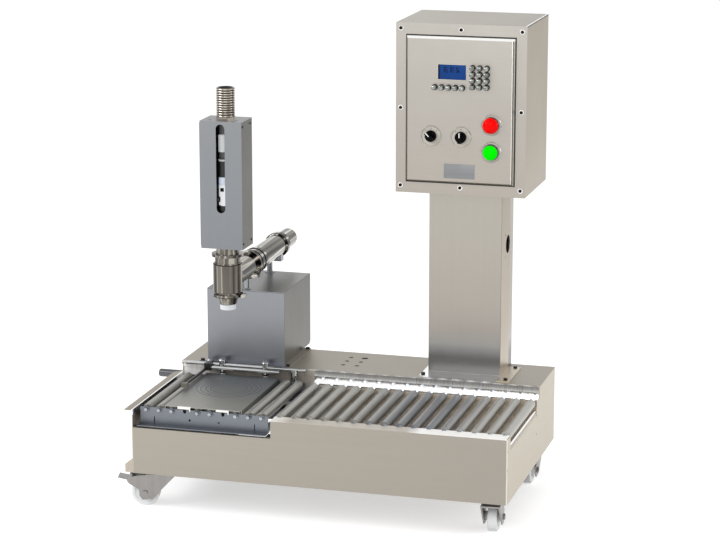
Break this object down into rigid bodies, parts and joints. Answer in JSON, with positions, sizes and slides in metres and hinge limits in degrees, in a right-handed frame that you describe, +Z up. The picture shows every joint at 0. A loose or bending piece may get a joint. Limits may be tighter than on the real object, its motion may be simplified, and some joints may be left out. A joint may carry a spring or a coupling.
{
  "type": "liquid filling machine",
  "caption": "Single-head liquid filling machine: roller conveyor base on casters, weigh section with ringed platform, head raised on posts, control cabinet on a column.",
  "frame": {"origin": "centre of the bounding box, on the floor under the wheels", "axes": "+Z up, +X along the conveyor from the weigh section towards the exit, +Y from the operator's side to the back"},
  "size_m": [1.08, 0.766, 1.2555],
  "materials": {
    "base_steel": "brushed",
    "frame_steel": "satin",
    "tray_steel": "brushed",
    "axle_steel": "turned",
    "roller_steel": "satin",
    "weigh_steel": "satin",
    "platform_steel": "satin",
    "cell_aluminium": "anodised",
    "rod_steel": "polished",
    "housing_steel": "satin",
    "pipe_steel": "mirror polished",
    "nozzle_steel": "turned",
    "tip_plastic": "matte",
    "actuator_aluminium": "anodised",
    "column_steel": "satin",
    "cabinet_steel": "satin",
    "display_plastic": "gloss",
    "key_metal": "polished",
    "knob_plastic": "matte",
    "stop_plastic": "gloss",
    "start_plastic": "gloss",
    "fork_steel": "zinc plated",
    "wheel_nylon": "matte",
    "screw_steel": "black oxide"
  },
  "bodies": {
    "base": {"front_panel": "base_steel", "left_panel": "base_steel", "right_panel": "base_steel", "rear_panel": "base_steel", "deck_plate": "base_steel", "chassis_frame": "frame_steel", "roller_bed": "tray_steel", "roller_shafts": "axle_steel", "weigh_frame": "weigh_steel", "covered_rollers": "roller_steel", "weigh_platform": "platform_steel", "load_cell": "cell_aluminium", "guide_stand": "rod_steel", "lift_housing": "housing_steel", "column": "column_steel", "cabinet_shell": "cabinet_steel", "cabinet_cover": "cabinet_steel", "display_unit": "display_plastic", "keypad_keys": "key_metal", "fasteners": "screw_steel"},
    "filling_head": {"lift_posts": "rod_steel", "inlet_pipe": "pipe_steel", "nozzle_body": "nozzle_steel", "head_housing": "housing_steel", "fill_actuator": "actuator_aluminium"},
    "valve_stem": {"valve_stem": "tip_plastic"},
    "guide": {"guide_rods": "rod_steel"},
    "selector_left": {"selector_left": "knob_plastic"},
    "selector_right": {"selector_right": "knob_plastic"},
    "stop_button": {"stop_button": "stop_plastic"},
    "start_button": {"start_button": "start_plastic"},
    "brake_pedal": {"brake_pedal": "fork_steel"},
    "roller_01": {"roller_01": "roller_steel"},
    "roller_02": {"roller_02": "roller_steel"},
    "roller_03": {"roller_03": "roller_steel"},
    "roller_04": {"roller_04": "roller_steel"},
    "roller_05": {"roller_05": "roller_steel"},
    "roller_06": {"roller_06": "roller_steel"},
    "roller_07": {"roller_07": "roller_steel"},
    "roller_08": {"roller_08": "roller_steel"},
    "roller_09": {"roller_09": "roller_steel"},
    "roller_10": {"roller_10": "roller_steel"},
    "roller_11": {"roller_11": "roller_steel"},
    "roller_12": {"roller_12": "roller_steel"},
    "roller_13": {"roller_13": "roller_steel"},
    "roller_14": {"roller_14": "roller_steel"},
    "roller_15": {"roller_15": "roller_steel"},
    "roller_16": {"roller_16": "roller_steel"},
    "weigh_roller_1": {"weigh_roller_1": "roller_steel"},
    "weigh_roller_2": {"weigh_roller_2": "roller_steel"},
    "weigh_roller_3": {"weigh_roller_3": "roller_steel"},
    "weigh_roller_4": {"weigh_roller_4": "roller_steel"},
    "caster_fork_front_left": {"caster_fork_front_left": "fork_steel"},
    "caster_wheel_front_left": {"caster_wheel_front_left": "wheel_nylon"},
    "caster_fork_front_right": {"caster_fork_front_right": "fork_steel"},
    "caster_wheel_front_right": {"caster_wheel_front_right": "wheel_nylon"},
    "caster_fork_rear_left": {"caster_fork_rear_left": "fork_steel"},
    "caster_wheel_rear_left": {"caster_wheel_rear_left": "wheel_nylon"},
    "caster_fork_rear_right": {"caster_fork_rear_right": "fork_steel"},
    "caster_wheel_rear_right": {"caster_wheel_rear_right": "wheel_nylon"}
  },
  "joints": [
    {"name": "roller_01_spin", "type": "hinge", "parent": "base", "child": "roller_01", "pos_m": [-0.0685, -0.186, 0.267], "axis": [0, 1, 0], "continuous": true},
    {"name": "roller_02_spin", "type": "hinge", "parent": "base", "child": "roller_02", "pos_m": [-0.0289, -0.186, 0.267], "axis": [0, 1, 0], "continuous": true},
    {"name": "roller_03_spin", "type": "hinge", "parent": "base", "child": "roller_03", "pos_m": [0.0107, -0.186, 0.267], "axis": [0, 1, 0], "continuous": true},
    {"name": "roller_04_spin", "type": "hinge", "parent": "base", "child": "roller_04", "pos_m": [0.0503, -0.186, 0.267], "axis": [0, 1, 0], "continuous": true},
    {"name": "roller_05_spin", "type": "hinge", "parent": "base", "child": "roller_05", "pos_m": [0.0899, -0.186, 0.267], "axis": [0, 1, 0], "continuous": true},
    {"name": "roller_06_spin", "type": "hinge", "parent": "base", "child": "roller_06", "pos_m": [0.1295, -0.186, 0.267], "axis": [0, 1, 0], "continuous": true},
    {"name": "roller_07_spin", "type": "hinge", "parent": "base", "child": "roller_07", "pos_m": [0.1691, -0.186, 0.267], "axis": [0, 1, 0], "continuous": true},
    {"name": "roller_08_spin", "type": "hinge", "parent": "base", "child": "roller_08", "pos_m": [0.2087, -0.186, 0.267], "axis": [0, 1, 0], "continuous": true},
    {"name": "roller_09_spin", "type": "hinge", "parent": "base", "child": "roller_09", "pos_m": [0.2483, -0.186, 0.267], "axis": [0, 1, 0], "continuous": true},
    {"name": "roller_10_spin", "type": "hinge", "parent": "base", "child": "roller_10", "pos_m": [0.2879, -0.186, 0.267], "axis": [0, 1, 0], "continuous": true},
    {"name": "roller_11_spin", "type": "hinge", "parent": "base", "child": "roller_11", "pos_m": [0.3275, -0.186, 0.267], "axis": [0, 1, 0], "continuous": true},
    {"name": "roller_12_spin", "type": "hinge", "parent": "base", "child": "roller_12", "pos_m": [0.3671, -0.186, 0.267], "axis": [0, 1, 0], "continuous": true},
    {"name": "roller_13_spin", "type": "hinge", "parent": "base", "child": "roller_13", "pos_m": [0.4067, -0.186, 0.267], "axis": [0, 1, 0], "continuous": true},
    {"name": "roller_14_spin", "type": "hinge", "parent": "base", "child": "roller_14", "pos_m": [0.4463, -0.186, 0.267], "axis": [0, 1, 0], "continuous": true},
    {"name": "roller_15_spin", "type": "hinge", "parent": "base", "child": "roller_15", "pos_m": [0.4859, -0.186, 0.267], "axis": [0, 1, 0], "continuous": true},
    {"name": "roller_16_spin", "type": "hinge", "parent": "base", "child": "roller_16", "pos_m": [0.5255, -0.186, 0.267], "axis": [0, 1, 0], "continuous": true},
    {"name": "weigh_roller_1_spin", "type": "hinge", "parent": "base", "child": "weigh_roller_1", "pos_m": [-0.4305, -0.183, 0.267], "axis": [0, 1, 0], "continuous": true},
    {"name": "weigh_roller_2_spin", "type": "hinge", "parent": "base", "child": "weigh_roller_2", "pos_m": [-0.3955, -0.183, 0.267], "axis": [0, 1, 0], "continuous": true},
    {"name": "weigh_roller_3_spin", "type": "hinge", "parent": "base", "child": "weigh_roller_3", "pos_m": [-0.1505, -0.183, 0.267], "axis": [0, 1, 0], "continuous": true},
    {"name": "weigh_roller_4_spin", "type": "hinge", "parent": "base", "child": "weigh_roller_4", "pos_m": [-0.1155, -0.183, 0.267], "axis": [0, 1, 0], "continuous": true},
    {"name": "caster_fork_front_left_swivel", "type": "hinge", "parent": "base", "child": "caster_fork_front_left", "pos_m": [-0.41, -0.323, 0.09], "axis": [0, 0, 1], "continuous": true},
    {"name": "caster_wheel_front_left_roll", "type": "hinge", "parent": "caster_fork_front_left", "child": "caster_wheel_front_left", "pos_m": [-0.44326, -0.33007, 0.0375], "axis": [0.2079, -0.9781, 0], "continuous": true},
    {"name": "caster_fork_front_right_swivel", "type": "hinge", "parent": "base", "child": "caster_fork_front_right", "pos_m": [0.49, -0.323, 0.09], "axis": [0, 0, 1], "continuous": true},
    {"name": "caster_wheel_front_right_roll", "type": "hinge", "parent": "caster_fork_front_right", "child": "caster_wheel_front_right", "pos_m": [0.48704, -0.28913, 0.0375], "axis": [-0.9962, -0.0872, 0], "continuous": true},
    {"name": "caster_fork_rear_left_swivel", "type": "hinge", "parent": "base", "child": "caster_fork_rear_left", "pos_m": [-0.41, 0.157, 0.09], "axis": [0, 0, 1], "continuous": true},
    {"name": "caster_wheel_rear_left_roll", "type": "hinge", "parent": "caster_fork_rear_left", "child": "caster_wheel_rear_left", "pos_m": [-0.41473, 0.12333, 0.0375], "axis": [0.9903, -0.1392, 0], "continuous": true},
    {"name": "caster_fork_rear_right_swivel", "type": "hinge", "parent": "base", "child": "caster_fork_rear_right", "pos_m": [0.49, 0.157, 0.09], "axis": [0, 0, 1], "continuous": true},
    {"name": "caster_wheel_rear_right_roll", "type": "hinge", "parent": "caster_fork_rear_right", "child": "caster_wheel_rear_right", "pos_m": [0.49, 0.123, 0.0375], "axis": [1, 0, 0], "continuous": true},
    {"name": "brake_pedal_press", "type": "hinge", "parent": "caster_fork_front_left", "child": "brake_pedal", "pos_m": [-0.48336, -0.33859, 0.071], "axis": [0.2079, -0.9781, 0], "range_deg": [0, 12]},
    {"name": "head_lift", "type": "slide", "parent": "base", "child": "filling_head", "axis": [0, 0, 1], "range_m": [0, 0.15]},
    {"name": "valve_stroke", "type": "slide", "parent": "filling_head", "child": "valve_stem", "axis": [0, 0, -1], "range_m": [0, 0.02], "stiffness_N_per_m": 500, "springref_m": -0.02},
    {"name": "guide_shift", "type": "slide", "parent": "base", "child": "guide", "axis": [1, 0, 0], "range_m": [-0.03, 0.015]},
    {"name": "selector_left_turn", "type": "hinge", "parent": "base", "child": "selector_left", "pos_m": [0.2427, -0.001, 0.963], "axis": [0, 1, 0], "range_deg": [0, 90]},
    {"name": "selector_right_turn", "type": "hinge", "parent": "base", "child": "selector_right", "pos_m": [0.3229, -0.001, 0.963], "axis": [0, 1, 0], "range_deg": [-45, 45]},
    {"name": "stop_press", "type": "slide", "parent": "base", "child": "stop_button", "axis": [0, 1, 0], "range_m": [0, 0.004], "stiffness_N_per_m": 800, "springref_m": -0.002},
    {"name": "start_press", "type": "slide", "parent": "base", "child": "start_button", "axis": [0, 1, 0], "range_m": [0, 0.004], "stiffness_N_per_m": 600, "springref_m": -0.002}
  ]
}
